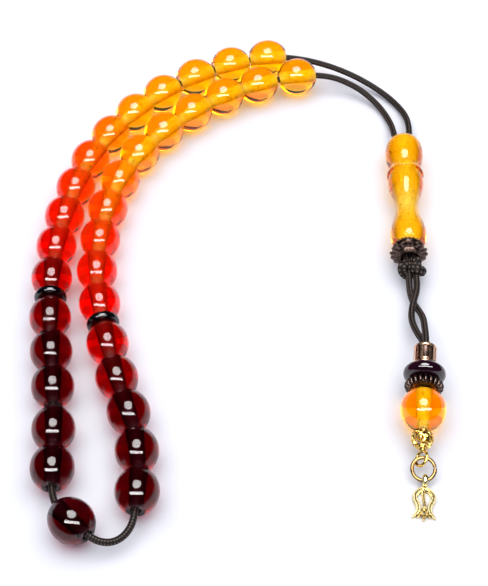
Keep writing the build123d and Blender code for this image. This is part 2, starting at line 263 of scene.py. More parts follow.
def frames_along(line, closed):
    """At each point of a line: its place and two directions across it that don't twist."""
    line = np.asarray(line, float)
    ahead = np.roll(line, -1, 0) - np.roll(line, 1, 0)
    if not closed:
        ahead[0] = line[1] - line[0]
        ahead[-1] = line[-1] - line[-2]
    ahead /= np.linalg.norm(ahead, axis=1)[:, None]
    side = np.zeros_like(line)
    first = np.cross(ahead[0], (0.0, 0.0, 1.0))
    if np.linalg.norm(first) < 0.1:
        first = np.cross(ahead[0], (1.0, 0.0, 0.0))
    side[0] = first / np.linalg.norm(first)
    for k in range(1, len(line)):
        across = side[k - 1] - ahead[k] * side[k - 1].dot(ahead[k])
        side[k] = across / np.linalg.norm(across)
    if closed:
        last = side[-1] - ahead[0] * side[-1].dot(ahead[0])
        twist = math.atan2(np.cross(last, side[0]).dot(ahead[0]), last.dot(side[0]))
        up = np.cross(ahead, side)
        share = np.linspace(0, twist, len(line))[:, None]
        side = side * np.cos(share) + up * np.sin(share)
    return line, side, np.cross(ahead, side)


def skin(line, section, closed=False, widths=None):
    """Points and faces of a section of (across, up) points carried along a line, with its ends shut."""
    line, side, up = frames_along(line, closed)
    section = np.array(section, float)
    widths = np.ones(len(line)) if widths is None else np.asarray(widths, float)
    points = (
        line[:, None, :]
        + side[:, None, :] * section[None, :, 0, None] * widths[:, None, None]
        + up[:, None, :] * section[None, :, 1, None] * widths[:, None, None]
    ).reshape(-1, 3)
    count, rows = len(section), len(line)
    faces = []
    for k in range(rows if closed else rows - 1):
        n = (k + 1) % rows
        for j in range(count):
            i = (j + 1) % count
            faces.append((k * count + j, k * count + i, n * count + i, n * count + j))
    if not closed:
        faces.append(tuple(reversed(range(count))))
        faces.append(tuple((rows - 1) * count + j for j in range(count)))
    return points, faces


def circle(radius, count=12):
    turns = [2 * math.pi * k / count for k in range(count)]
    return [(radius * math.cos(t), radius * math.sin(t)) for t in turns]


def ring_line(middle, across_a, across_b, radius, steps=48, start=0.0, stop=1.0):
    """Points round a circle, from one share of the turn to another."""
    middle, a, b = Vector(middle), Vector(across_a).normalized(), Vector(across_b).normalized()
    whole = abs(stop - start - 1.0) < 1e-9
    gaps = steps if whole else steps - 1
    turns = [2 * math.pi * (start + (stop - start) * k / gaps) for k in range(steps)]
    return [middle + a * radius * math.cos(t) + b * radius * math.sin(t) for t in turns]


def joined(parts):
    """Several (points, faces) as one."""
    points, faces = [], []
    for more, those in parts:
        base = len(points)
        points.extend([tuple(p) for p in more])
        faces.extend([tuple(base + i for i in face) for face in those])
    return points, faces


# ---- material helpers ----------------------------------------------------------------------
def new_material(name):
    material = bpy.data.materials.new(name)
    material.use_nodes = True
    tree = material.node_tree
    return material, tree, tree.nodes["Principled BSDF"]


def noise(tree, scale, detail=3.0, stretch=(1, 1, 1)):
    """A noise texture over the piece's own coordinates."""
    place = tree.nodes.new("ShaderNodeTexCoord")
    mapping = tree.nodes.new("ShaderNodeMapping")
    mapping.inputs["Scale"].default_value = stretch
    texture = tree.nodes.new("ShaderNodeTexNoise")
    texture.inputs["Scale"].default_value = scale
    texture.inputs["Detail"].default_value = detail
    texture.inputs["Roughness"].default_value = 0.5
    tree.links.new(place.outputs["Object"], mapping.inputs["Vector"])
    tree.links.new(mapping.outputs["Vector"], texture.inputs["Vector"])
    return texture.outputs["Fac"]


def ramp(tree, source, *stops):
    """A colour ramp of (position, colour) stops."""
    node = tree.nodes.new("ShaderNodeValToRGB")
    bars = node.color_ramp.elements
    while len(bars) < len(stops):
        bars.new(0.5)
    for bar, (position, colour) in zip(bars, stops):
        bar.position = position
        bar.color = (*colour, 1.0)
    tree.links.new(source, node.inputs["Fac"])
    return node.outputs["Color"]


def between(tree, source, low, high):
    """source, 0 to 1, spread over low to high."""
    node = tree.nodes.new("ShaderNodeMapRange")
    node.inputs["To Min"].default_value = low
    node.inputs["To Max"].default_value = high
    tree.links.new(source, node.inputs["Value"])
    return node.outputs["Result"]


def bump(tree, shader, source, strength, distance):
    node = tree.nodes.new("ShaderNodeBump")
    node.inputs["Strength"].default_value = strength
    node.inputs["Distance"].default_value = distance
    tree.links.new(source, node.inputs["Height"])
    tree.links.new(node.outputs["Normal"], shader.inputs["Normal"])


# ---- materials -----------------------------------------------------------------------------
RESIN_DEPTH = 8 * MM      # the thickness that the clear colours below are given for
# Share of red, green and blue light that passes RESIN_DEPTH, from the amber end to the maroon end.
RESIN_SHADES = [
    (0.0, (0.985, 0.53, 0.005)),
    (5.2, (0.985, 0.47, 0.005)),
    (6.2, (0.97, 0.34, 0.005)),
    (7.2, (0.95, 0.20, 0.006)),
    (8.5, (0.92, 0.085, 0.008)),
    (10.2, (0.84, 0.025, 0.010)),
    (11.5, (0.55, 0.010, 0.014)),
    (13.0, (0.33, 0.008, 0.020)),
    (17.0, (0.20, 0.008, 0.022)),
]
IMAME_CLEARNESS = (0.985, 0.55, 0.006)
IMAME_TINT = (1.0, 0.84, 0.45)   # at each face, so that its thin edges are amber too
RESIN_ROUGHNESS = (0.021, 0.042)
POLISHED_ROUGHNESS = (0.042, 0.096)
SHADOW_CLEARNESS = 0.65   # what a shadow ray keeps at each face, over and above the tint


def resin_clearness(step):
    """The clear colour at a step of the gradient, 1 at the amber end and 17 at the maroon end."""
    for (low, first), (high, last) in zip(RESIN_SHADES, RESIN_SHADES[1:]):
        if step <= high:
            share = (step - low) / (high - low)
            return [a + (b - a) * share for a, b in zip(first, last)]
    return list(RESIN_SHADES[-1][1])


def drilled(name, clearness):
    """The wall of a bore, matt from the drill, seen through the clear body: pale in amber, and dark in red,
    partly its own tone and partly painted shade.
    """
    material, tree, shader = new_material(name)
    # painted shade: the wall's lightness falls with the fourth power of the bead's red clearness, so the bore
    # shows as a dark band in the red beads
    light = 0.97 * clearness[0] ** 4
    grit = noise(tree, 1300.0, detail=2.0, stretch=(1, 1, 0.4))
    wall = [light, light * clearness[1] ** 0.3, 0.55 * light * clearness[1] ** 0.3]
    speck = [0.45 * c for c in wall]
    dusty = [0.85 * c for c in wall]
    tree.links.new(ramp(tree, grit, (0.26, speck), (0.34, dusty), (0.7, wall)), shader.inputs["Base Color"])
    shader.inputs["Roughness"].default_value = 0.75
    return material


def resin(name, clearness, face=(1.0, 1.0, 1.0)):
    """Clear tinted resin: its colour is in its depth, and it lets coloured light through to the floor."""
    material, tree, shader = new_material(name)
    shader.inputs["Transmission Weight"].default_value = 1.0
    shader.inputs["IOR"].default_value = 1.50
    cloud = noise(tree, 260.0, detail=2.0)
    faint = (face[0], 0.985 * face[1], 0.95 * face[2])
    tint = ramp(tree, cloud, (0.25, faint), (0.75, face))
    tree.links.new(tint, shader.inputs["Base Color"])
    tree.links.new(between(tree, noise(tree, 900.0), *RESIN_ROUGHNESS), shader.inputs["Roughness"])
    absorb = tree.nodes.new("ShaderNodeVolumeAbsorption")
    loss = [-math.log(c) / RESIN_DEPTH for c in clearness]
    density = max(loss) * 1.02
    absorb.inputs["Density"].default_value = density
    absorb.inputs["Color"].default_value = (*[1 - k / density for k in loss], 1.0)
    path = tree.nodes.new("ShaderNodeLightPath")
    clear = tree.nodes.new("ShaderNodeBsdfTransparent")
    clear.inputs["Color"].default_value = (SHADOW_CLEARNESS, SHADOW_CLEARNESS, SHADOW_CLEARNESS, 1.0)
    mix = tree.nodes.new("ShaderNodeMixShader")
    output = tree.nodes["Material Output"]
    tree.links.new(path.outputs["Is Shadow Ray"], mix.inputs["Fac"])
    tree.links.new(shader.outputs["BSDF"], mix.inputs[1])
    tree.links.new(clear.outputs["BSDF"], mix.inputs[2])
    tree.links.new(mix.outputs["Shader"], output.inputs["Surface"])
    tree.links.new(absorb.outputs["Volume"], output.inputs["Volume"])
    return material


def metal(name, deep, bright, rough, patina, grain=900.0):
    """Cast and plated metal: darker where it is hollow, worn brighter where it stands out."""
    material, tree, shader = new_material(name)
    shader.inputs["Metallic"].default_value = 1.0
    hollow = tree.nodes.new("ShaderNodeAmbientOcclusion")
    hollow.samples = 8
    hollow.inputs["Distance"].default_value = 0.8 * MM
    sharper = tree.nodes.new("ShaderNodeMath")
    sharper.operation = "POWER"
    sharper.inputs[1].default_value = patina
    tree.links.new(hollow.outputs["AO"], sharper.inputs[0])
    spots = noise(tree, grain, detail=4.0)
    shade = tree.nodes.new("ShaderNodeMath")
    shade.operation = "MULTIPLY"
    tree.links.new(sharper.outputs[0], shade.inputs[0])
    tree.links.new(between(tree, spots, 0.7, 1.25), shade.inputs[1])
    tree.links.new(ramp(tree, shade.outputs[0], (0.12, deep), (0.85, bright)), shader.inputs["Base Color"])
    tree.links.new(between(tree, spots, rough * 0.7, rough * 1.5), shader.inputs["Roughness"])
    bump(tree, shader, noise(tree, grain * 3, detail=3.0), 0.12, 0.05 * MM)
    return material


def cord_fibre():
    """Braided thread: nearly black, with brown flecks where the lighter strands lie on top, and painted shade
    in the grooves between strands.
    """
    material, tree, shader = new_material("braided_cord")
    strand_tone_and_groove_shade = tree.nodes.new("ShaderNodeAttribute")
    strand_tone_and_groove_shade.attribute_name = "strand_tone_and_groove_shade"
    fibres = noise(tree, 5200.0, detail=3.0)
    mixed = tree.nodes.new("ShaderNodeMath")
    mixed.operation = "MULTIPLY"
    tree.links.new(strand_tone_and_groove_shade.outputs["Fac"], mixed.inputs[0])
    tree.links.new(between(tree, fibres, 0.6, 1.4), mixed.inputs[1])
    colour = ramp(
        tree, mixed.outputs[0],
        (0.05, (0.002, 0.0015, 0.0015)), (0.5, (0.009, 0.006, 0.005)), (0.95, (0.17, 0.115, 0.085)),
    )
    tree.links.new(colour, shader.inputs["Base Color"])
    tree.links.new(between(tree, fibres, 0.45, 0.7), shader.inputs["Roughness"])
    shader.inputs["Sheen Weight"].default_value = 0.02
    shader.inputs["Sheen Tint"].default_value = (0.75, 0.78, 1.0, 1.0)
    shader.inputs["Specular IOR Level"].default_value = 0.12
    bump(tree, shader, fibres, 0.35, 0.05 * MM)
    return material


def polished(name, colour, fleck):
    """Opaque polished resin or stone with a faint depth of colour."""
    material, tree, shader = new_material(name)
    cloud = noise(tree, 420.0, detail=3.0)
    tree.links.new(ramp(tree, cloud, (0.3, colour), (0.8, fleck)), shader.inputs["Base Color"])
    tree.links.new(between(tree, noise(tree, 1500.0), *POLISHED_ROUGHNESS), shader.inputs["Roughness"])
    shader.inputs["Coat Weight"].default_value = 0.6
    shader.inputs["Coat Roughness"].default_value = 0.03
    return material


GOLD = metal("antique_gold", (0.20, 0.10, 0.015), (0.95, 0.66, 0.17), 0.22, 1.5)
PALE_GOLD = metal("pale_gold", (0.22, 0.13, 0.03), (0.98, 0.83, 0.43), 0.22, 1.3, grain=250.0)
RING_GOLD = metal("old_gold_wire", (0.04, 0.022, 0.008), (0.28, 0.175, 0.065), 0.20, 1.4)
COPPER = metal("rose_copper", (0.05, 0.020, 0.014), (0.86, 0.53, 0.36), 0.24, 2.0)
BRONZE = metal("dark_bronze", (0.004, 0.003, 0.003), (0.115, 0.075, 0.062), 0.22, 2.6)
BLACK = polished("black_disc", (0.002, 0.0015, 0.002), (0.005, 0.003, 0.004))
PLUM = polished("dark_plum", (0.010, 0.002, 0.006), (0.024, 0.004, 0.012))
CORD = cord_fibre()
AMBER = resin("amber_resin", resin_clearness(2.0))
AMBER_BORE = drilled("amber_drilled", resin_clearness(2.0))
IMAME_AMBER = resin("imame_resin", IMAME_CLEARNESS, face=IMAME_TINT)


# ---- beads, discs and other turned pieces ---------------------------------------------------
def place_of(node, axis):
    """Where a piece of revolution stands: the middle of its box, along the axis of its joint."""
    low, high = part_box(node)
    return facing((Vector(low) + Vector(high)) / 2, axis)


WALL_REACH = 1.04         # a face is a bore's wall up to this share of the bore's radius


def turned_piece(name, outline, place, materials, body, node, bore=0.0, around=64):
    """A turned piece on a body, in place of a node. Its faces inside bore get the second material."""
    points, faces = lathe(outline, around)
    piece = add_mesh(name, moved(points, place), faces, materials)
    if bore:
        count = len(outline)
        in_bore = [r < bore / 2 * WALL_REACH for r, _ in outline]
        flags = [
            1 if in_bore[j] and in_bore[(j + 1) % count] else 0 for _ in range(around) for j in range(count)
        ]
        piece.data.polygons.foreach_set("material_index", flags)
    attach(piece, body)
    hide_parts(node)


def bead_outline():
    """Closed outline of (radius, height): bore, rounded edge, barrel side, rounded edge."""
    half = BEAD_LENGTH / 2
    end = BEAD_DIAMETER / 2 - BARREL_RADIUS + math.sqrt(BARREL_RADIUS**2 - half**2)
    bore = BEAD_BORE / 2
    side = arc((end, -half), (BEAD_DIAMETER / 2, 0), (end, half), 28)[2:-1]
    low = rounded([
        (side[0][0], side[0][1], 0), (end, -half, BEAD_EDGE), (bore, -half, 0.25 * MM), (bore, 0, 0),
    ])
    line = [p for p in low if p not in ((side[0][0], side[0][1]), (bore, 0))]
    line = [(bore, 0)] + line[::-1] + side + [(r, -h) for r, h in line]
    return line


def make_beads():
    outline = bead_outline()
    for number in range(1, BEAD_COUNT + 1):
        name = f"bead_{number:02d}"
        step = number if number <= LOWEST_BEAD else BEAD_COUNT - number
        clearness = resin_clearness(step)
        shades = [resin(f"resin_{number:02d}", clearness), drilled(f"drilled_{number:02d}", clearness)]
        place = place_of(name, JOINTS[name]["axis"])
        turned_piece(f"{name}_resin", outline, place, shades, name, name, BEAD_BORE)


def make_discs():
    outer, half, bore = DISC_DIAMETER / 2, DISC_THICKNESS / 2, BEAD_BORE / 2
    outline = rounded([
        (bore, -half, 0.2 * MM), (outer, -half, 1.0 * MM), (outer, half, 1.0 * MM), (bore, half, 0.2 * MM),
    ], steps=8)
    for node in ("marker_disc_1", "marker_disc_2"):
        place = place_of(node, JOINTS[node]["axis"])
        turned_piece(f"{node}_polished", outline, place, BLACK, node, node)


def imame_outline():
    """Foot, waist and shoulder, a thin flared collar over a groove, and the barrel-shaped head."""
    body = [
        (3.25, 0.0), (4.35, 0.9), (4.85, 2.6), (4.93, 4.9), (4.45, 7.6), (3.62, 10.9), (3.2, 13.9),
        (3.52, 17.0), (4.35, 20.2), (4.93, 22.6), (5.02, 24.6), (4.75, 26.1),
    ]
    collar = [
        (4.75, 26.5), (5.13, 26.75), (5.18, 27.05), (4.98, 27.7), (4.45, 29.1), (4.2, 29.7), (4.28, 30.25),
    ]
    head = [(4.6, 31.2), (5.12, 32.8), (5.38, 35.1), (5.3, 37.4), (4.85, 39.2), (4.1, 40.3), (3.3, 40.8)]
    line = curve_through(body, 4) + curve_through(collar, 3) + curve_through(head, 4)
    line = [(r * MM, h * MM) for r, h in line]
    bore, mouth = IMAME_BORE / 2, IMAME_BORE / 2 + MOUTH_FLARE
    return line + [(mouth, IMAME_LENGTH - 0.2 * MM)] + [
        (bore, IMAME_LENGTH * (1 - share)) for share in (0.12, 0.3, 0.5, 0.7, 0.9, 1.0)
    ]


def make_imame():
    inner = IMAME_BORE + 1.75 * MOUTH_FLARE         # takes in the mouth, and not the waist outside
    place = place_of("imame", JOINTS["imame"]["axis"]) @ Matrix.Translation((0, 0, -IMAME_LENGTH / 2))
    turned_piece(
        "imame_resin", imame_outline(), place, [IMAME_AMBER, AMBER_BORE], "imame", "imame",
        inner, 96,
    )


def make_ball():
    radius, bore = BALL_DIAMETER / 2, BALL_BORE / 2
    pole = math.sqrt(radius**2 - bore**2)
    side = arc((bore, -pole), (radius, 0), (bore, pole), 48)
    outline = side + [(bore, pole), (bore, pole / 2), (bore, 0), (bore, -pole / 2)]
    place = place_of("amber_ball", JOINTS["amber_ball"]["axis"])
    turned_piece(
        "amber_ball_resin", outline, place, [AMBER, AMBER_BORE], "amber_ball", "amber_ball",
        BALL_BORE, 96,
    )


def make_rondelle():
    outer, half, bore = 5.42 * MM, 2.47 * MM, PIN_BORE / 2
    fullness = 0.88                                 # 1 is an ellipse; less is squarer
    turns = np.linspace(-math.pi / 2, math.pi / 2, 41)[2:-2]
    side = [
        (outer * math.cos(t) ** fullness, half * math.copysign(abs(math.sin(t)) ** fullness, t))
        for t in turns
    ]
    outline = [(bore, side[0][1])] + side + [(bore, side[-1][1])]
    place = place_of("rondelle", JOINTS["rondelle"]["axis"])
    turned_piece("rondelle_polished", outline, place, PLUM, "rondelle", "rondelle")


# ---- cords ---------------------------------------------------------------------------------
def route_line(name, points_mm, spacing, closed=False):
    """Points evenly along a NURBS curve that has the route's points as its control points."""
    data = bpy.data.curves.new(name, "CURVE")
    data.dimensions = "3D"
    spline = data.splines.new("NURBS")
    spline.points.add(len(points_mm) - 1)
    for point, place in zip(spline.points, points_mm):
        point.co = (*[c * MM for c in place], 1.0)
    spline.order_u = 3
    spline.use_endpoint_u = not closed
    spline.use_cyclic_u = closed
    spline.resolution_u = 16
    curve = bpy.data.objects.new(name, data)
    bpy.context.scene.collection.objects.link(curve)
    mesh = bpy.data.meshes.new_from_object(curve)
    line = np.array([v.co for v in mesh.vertices])
    bpy.data.meshes.remove(mesh)
    bpy.data.objects.remove(curve)
    if closed:
        line = np.vstack([line, line[:1]])
    run = np.concatenate([[0], np.cumsum(np.linalg.norm(np.diff(line, axis=0), axis=1))])
    stations = np.linspace(0, run[-1], max(8, int(run[-1] / spacing)))
    if closed:
        stations = stations[:-1]
    return np.stack([np.interp(stations, run, line[:, k]) for k in range(3)], 1)


def braided(name, line, radius, spacing, closed=False):
    """A round braid: two families of strands that wind opposite ways, over and under each other."""
    strands, pitch, around = 12, 4.4 * MM, 36
    line, side, up = frames_along(line, closed)
    rows = len(line)
    along = np.arange(rows)[:, None] * spacing / pitch
    if closed:
        along *= round(rows * spacing / pitch) / (rows * spacing / pitch)
    turn = np.arange(around)[None, :] / around
    a = strands / 2 * (turn + along)
    b = strands / 2 * (turn - along)
    weave = np.sin(math.pi * a) * np.sin(math.pi * b)
    ridge_a = np.sqrt(1 - (2 * (b % 1) - 1) ** 2 * 0.9)
    ridge_b = np.sqrt(1 - (2 * (a % 1) - 1) ** 2 * 0.9)
    first, second = ridge_a + 0.7 * weave, ridge_b - 0.7 * weave
    height = np.clip(np.maximum(first, second), 0.0, 1.7) / 1.7
    reach = radius * (0.84 + 0.15 * height)
    angle = 2 * math.pi * turn
    points = (
        line[:, None, :]
        + side[:, None, :] * (reach * np.cos(angle))[:, :, None]
        + up[:, None, :] * (reach * np.sin(angle))[:, :, None]
    ).reshape(-1, 3)
    faces = []
    for k in range(rows if closed else rows - 1):
        n = (k + 1) % rows
        for j in range(around):
            i = (j + 1) % around
            faces.append((k * around + j, k * around + i, n * around + i, n * around + j))
    if not closed:
        faces.append(tuple(reversed(range(around))))
        faces.append(tuple((rows - 1) * around + j for j in range(around)))
    piece = add_mesh(name, points, faces, CORD, smooth_angle=80.0)
    light = np.where(first > second, 1.0, 0.35)     # the strands that wind one way are lighter
    # each strand's own tone times the weave's height: it also paints shade into the grooves between the
    # strands
    strand_tone_and_groove_shade = piece.data.attributes.new("strand_tone_and_groove_shade", "FLOAT", "POINT")
    strand_tone_and_groove_shade.data.foreach_set("value", (light * height).astype(np.float32).ravel())
    return piece


def make_cords():
    spacing = 0.22 * MM
    line = route_line("loop_route", LOOP_POINTS, spacing)
    loop = braided("loop_cord_braid", line, CORD_DIAMETER / 2, spacing)
    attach(loop, "cord")
    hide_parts("loop_cord")
    line = route_line("tassel_route", TASSEL_POINTS, spacing / 2)
    tassel = braided("tassel_cord_braid", line, CORD_DIAMETER / 2, spacing / 2)
    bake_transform(tassel)
    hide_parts("tassel_cord_upper_left", "tassel_cord_upper_right", "tassel_cord_lower")


def make_knot():
    """The cord's ends tied into one another: three interlaced lobes, two of them towards the pendant."""
    low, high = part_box("knot")
    middle = (Vector(low) + Vector(high)) / 2
    wide, deep, tall = 0.97 * MM, 0.72 * MM, 1.15 * MM
    points = []
    for k in range(36):
        t = 2 * math.pi * k / 36
        x = math.sin(t) + 2 * math.sin(2 * t)
        y = math.cos(t) - 2 * math.cos(2 * t)
        points.append((
            (middle.x + wide * x) / MM, (middle.y - deep * y + 0.3 * MM) / MM,
            (middle.z - tall * math.sin(3 * t)) / MM,
        ))
    spacing = 0.12 * MM
    line = route_line("knot_route", points, spacing, closed=True)
    knot = braided("knot_braid", line, 1.42 * MM, spacing, closed=True)
    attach(knot, "cord")
    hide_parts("knot")


# ---- imame's cap ---------------------------------------------------------------------------
def bead_ring(count, ring_radius, height, radius, phase=0.0):
    """Small grains all round a ring about Z."""
    rows, around = 7, 8
    parts = []
    for k in range(count):
        t = 2 * math.pi * (k + phase) / count
        side = [(radius * math.cos(u), radius * math.sin(u)) for u in np.linspace(-1.5, 1.5, rows)]
        grain, faces = lathe(side, around)
        faces += [tuple(range(0, rows * around, rows))[::-1], tuple(range(rows - 1, rows * around, rows))]
        place = Matrix.Translation((ring_radius * math.cos(t), ring_radius * math.sin(t), height))
        parts.append((moved(grain, place), faces))
    return parts


def make_cap():
    """Cast cup: a grained lower cup, a flange of lobes tipped with grains, and a grained crown."""
    cap_length = 4.5 * MM
    place = facing(Vector(JOINTS["filigree_cap"]["pos_m"]), Vector(JOINTS["filigree_cap"]["axis"]))
    bore = IMAME_BORE / 2
    wall = [
        (bore, 0.0), (3.05 * MM, 0.0), (3.35 * MM, 0.55 * MM), (3.75 * MM, 0.95 * MM), (3.95 * MM, 1.5 * MM),
        (3.6 * MM, 2.15 * MM), (3.35 * MM, 2.7 * MM), (3.5 * MM, 3.3 * MM), (3.85 * MM, 3.7 * MM),
        (3.9 * MM, 4.1 * MM), (3.6 * MM, cap_length), (3.0 * MM, cap_length), (bore, 4.0 * MM),
    ]
    parts = [lathe(wall, 64)]
    lobes = 16
    for k in range(lobes):
        t = 2 * math.pi * k / lobes
        out = Vector((math.cos(t), math.sin(t), 0))
        line = curve_through([
            out * 3.3 * MM + Vector((0, 0, 1.05 * MM)), out * 4.1 * MM + Vector((0, 0, 1.25 * MM)),
            out * 4.7 * MM + Vector((0, 0, 1.6 * MM)),
        ], 4)
        turns = np.linspace(0, 2 * math.pi, 11)[:-1]
        section = [(0.92 * MM * math.cos(u), 0.34 * MM * math.sin(u)) for u in turns]
        parts.append(skin(line, section, widths=np.linspace(0.8, 1.0, len(line))))
    parts += bead_ring(lobes, 4.78 * MM, 1.75 * MM, 0.47 * MM)
    parts += bead_ring(lobes, 4.25 * MM, 1.75 * MM, 0.30 * MM, phase=0.5)
    parts += bead_ring(24, 3.95 * MM, 3.9 * MM, 0.42 * MM)
    parts += bead_ring(24, 3.62 * MM, 2.75 * MM, 0.36 * MM, phase=0.5)
    parts += bead_ring(26, 3.28 * MM, 0.42 * MM, 0.28 * MM)
    parts += bead_ring(26, 2.95 * MM, 0.0, 0.24 * MM, phase=0.5)
    points, faces = joined(parts)
    cap = add_mesh("filigree_cap_cast", moved(points, place), faces, BRONZE)
    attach(cap, "filigree_cap")
    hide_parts("filigree_cap")


# ---- pendant -------------------------------------------------------------------------------
PIN_WAY = Vector(JOINTS["amber_ball"]["axis"])
TUBE_LENGTH = 5.7 * MM
TUBE_RADIUS = 2.6 * MM


def make_tube():
    """Cast tube bead: rolled rims, and between them U-shaped keys and bars on a dark sunk ground."""
    low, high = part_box("meander_tube")
    place = facing((Vector(low) + Vector(high)) / 2, PIN_WAY)
    half, bore = TUBE_LENGTH / 2, 2.45 * MM
    ground, rim = TUBE_RADIUS, 2.98 * MM
    outline = rounded([
        (bore, -half, 0.1 * MM), (rim, -half, 0.3 * MM), (rim, -half + 0.75 * MM, 0.28 * MM),
        (ground, -half + 0.85 * MM, 0.05 * MM), (ground, half - 0.85 * MM, 0.05 * MM),
        (rim, half - 0.75 * MM, 0.28 * MM), (rim, half, 0.3 * MM), (bore, half, 0.1 * MM),
    ], steps=4)
    around = 72
    parts = [lathe(outline, around)]
    keys = 4
    top, bottom = half - 1.05 * MM, -half + 1.05 * MM
    step = 2 * math.pi / keys
    for k in range(keys):
        start = (k - 0.25) * step                   # the first key faces up
        end, bar = start + 0.5 * step, start + 0.75 * step
        parts.append(key_strip([(start, top), (start, bottom), (end, bottom), (end, top)], ground))
        parts.append(key_strip([(bar, bottom), (bar, top)], ground))
    points, faces = joined(parts)
    tube = add_mesh("meander_tube_cast", moved(points, place), faces, [COPPER, BRONZE], smooth_angle=32.0)
    count = len(outline)
    sunk = [abs(r - ground) < 0.06 * MM for r, _ in outline]
    flags = [1 if sunk[j] and sunk[(j + 1) % count] else 0 for _ in range(around) for j in range(count)]
    raised = [0] * (len(tube.data.polygons) - len(flags))
    tube.data.polygons.foreach_set("material_index", flags + raised)
    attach(tube, "meander_tube")
    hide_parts("meander_tube")


def key_strip(path, ground):
    """A raised strip along (angle, height) points round a cylinder, in square runs."""
    width, rise = 0.33 * MM, 0.34 * MM
    levels = ((ground - 0.1 * MM, 0.0), (ground + rise * 0.7, 0.0), (ground + rise, 0.08 * MM))
    parts = []
    for (t0, h0), (t1, h1) in zip(path, path[1:]):
        t_low, t_high = min(t0, t1) - width / ground, max(t0, t1) + width / ground
        h_low, h_high = min(h0, h1) - width, max(h0, h1) + width
        cuts = max(2, int((t_high - t_low) / 0.12) + 1)
        rows = []
        for t in np.linspace(t_low, t_high, cuts):
            for radius, inset in levels:
                for h in (h_low + inset, h_high - inset):
                    rows.append((radius * math.cos(t), radius * math.sin(t), h))
        faces = []
        loop = [0, 2, 4, 5, 3, 1]
        for k in range(cuts - 1):
            for a, b in zip(loop, loop[1:] + loop[:1]):
                faces.append((k * 6 + a, (k + 1) * 6 + a, (k + 1) * 6 + b, k * 6 + b))
        faces.append(tuple(loop))
        faces.append(tuple((cuts - 1) * 6 + a for a in reversed(loop)))
        parts.append((rows, faces))
    return joined(parts)


def make_spacer():
    """Daisy spacer: rounded ribs all round a flat ring, each a bent bar."""
    low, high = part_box("daisy_spacer")
    place = facing((Vector(low) + Vector(high)) / 2, PIN_WAY)
    half = 1.1 * MM
    hub = rounded([
        (PIN_BORE / 2, -0.8 * half, 0.1 * MM), (4.05 * MM, -0.75 * half, 0.3 * MM),
        (4.05 * MM, 0.75 * half, 0.3 * MM), (PIN_BORE / 2, 0.8 * half, 0.1 * MM),
    ])
    parts = [lathe(hub, 72)]
    ribs = 22
    for k in range(ribs):
        t = 2 * math.pi * k / ribs
        out = Vector((math.cos(t), math.sin(t), 0))
        up = Vector((0, 0, 1))
        line = [
            out * (3.55 * MM + 1.05 * MM * math.cos(u)) + up * 0.86 * MM * math.sin(u)
            for u in np.linspace(-0.62 * math.pi, 0.62 * math.pi, 15)
        ]
        parts.append(skin(line, circle(0.40 * MM, 10), widths=[0.5, 0.8] + [1.0] * 11 + [0.8, 0.5]))
    points, faces = joined(parts)
    spacer = add_mesh("daisy_spacer_cast", moved(points, place), faces, BRONZE)
    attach(spacer, "daisy_spacer")
    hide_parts("daisy_spacer")


def on_ball(way, across, radius, open_angle, turn):
    """A point of a ball, at an angle from way and turned about it."""
    up = way.cross(across)
    out = across * math.cos(turn) + up * math.sin(turn)
    return (way * math.cos(open_angle) + out * math.sin(open_angle)) * radius


def make_open_ball():
    """Openwork ball: scrolls of wire between two collars."""
    low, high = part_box("filigree_ball")
    place = facing((Vector(low) + Vector(high)) / 2, PIN_WAY)
    radius = 2.52 * MM
    wire = 0.35 * MM
    parts = []
    scrolls = 18
    golden = math.pi * (3 - math.sqrt(5))
    for k in range(scrolls):
        height = 0.80 - 1.60 * (k + 0.5) / scrolls
        t = golden * k
        flat = math.sqrt(1 - height**2)
        way = Vector((flat * math.cos(t), flat * math.sin(t), height))
        across = way.orthogonal().normalized()
        line = []
        for j in range(30):
            share = j / 29
            line.append(on_ball(way, across, radius, 0.06 + 0.37 * share**0.8, 7.4 * share + k))
        oval = [(1.15 * x, y) for x, y in circle(wire, 8)]
        parts.append(skin(line, oval, widths=np.linspace(0.75, 1.0, 30)))
    for side in (-1, 1):
        for angle, thick in ((0.28, 0.34 * MM), (0.52, 0.24 * MM)):
            pole, across = Vector((0, 0, side)), Vector((1, 0, 0))
            ring = [on_ball(pole, across, radius, angle, 2 * math.pi * j / 40) for j in range(40)]
            parts.append(skin(ring, circle(thick, 8), closed=True))
    points, faces = joined(parts)
    ball = add_mesh("filigree_ball_openwork", moved(points, place), faces, GOLD)
    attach(ball, "filigree_ball")
    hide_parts("filigree_ball")


UPPER_EYE = Vector((48.82, -35.44, 7.29)) * MM
EYE_TO_RING = Vector((0.18, 0.47, -0.33)) * MM      # from the lower eye's middle to the ring's wire
LOWER_EYE_TURN = math.radians(38.0)


def make_pin():
    """Eye pin: the shaft with its small upper eye, and the bigger lower eye bent from the same wire."""
    lower_eye = Vector(JOINTS["jump_ring"]["pos_m"]) - EYE_TO_RING
    way = PIN_WAY
    side = (Vector((1, 0, 0)) - way * way.x).normalized()
    up = way.cross(side)
    across = side * math.sin(LOWER_EYE_TURN) - up * math.cos(LOWER_EYE_TURN)
    mean = 1.9 * MM
    foot = UPPER_EYE + (lower_eye - UPPER_EYE).project(way)
    neck = foot + way * (mean + 0.55 * MM)
    eye = ring_line(lower_eye, way, across, mean, steps=56, start=0.055, stop=1.0)
    bend = curve_through([neck + way * 2 * MM, neck + way * 0.4 * MM, eye[0], eye[4]], 5)[:-6]
    top = UPPER_EYE - way * 1.55 * MM
    small = ring_line(UPPER_EYE, way, up, 1.65 * MM, steps=36, start=0.52, stop=1.44)
    shaft = curve_through([neck + way * 2 * MM, (neck + top) / 2, top], 4)
    parts = [
        skin(shaft, circle(0.35 * MM)),
        skin([Vector(p) for p in bend] + eye[1:], circle(0.40 * MM)),
        skin(small, circle(0.35 * MM)),
    ]
    points, faces = joined(parts)
    pin = add_mesh("eye_pin_wire", points, faces, GOLD)
    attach(pin, "pendant")
    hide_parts("eye_pin")


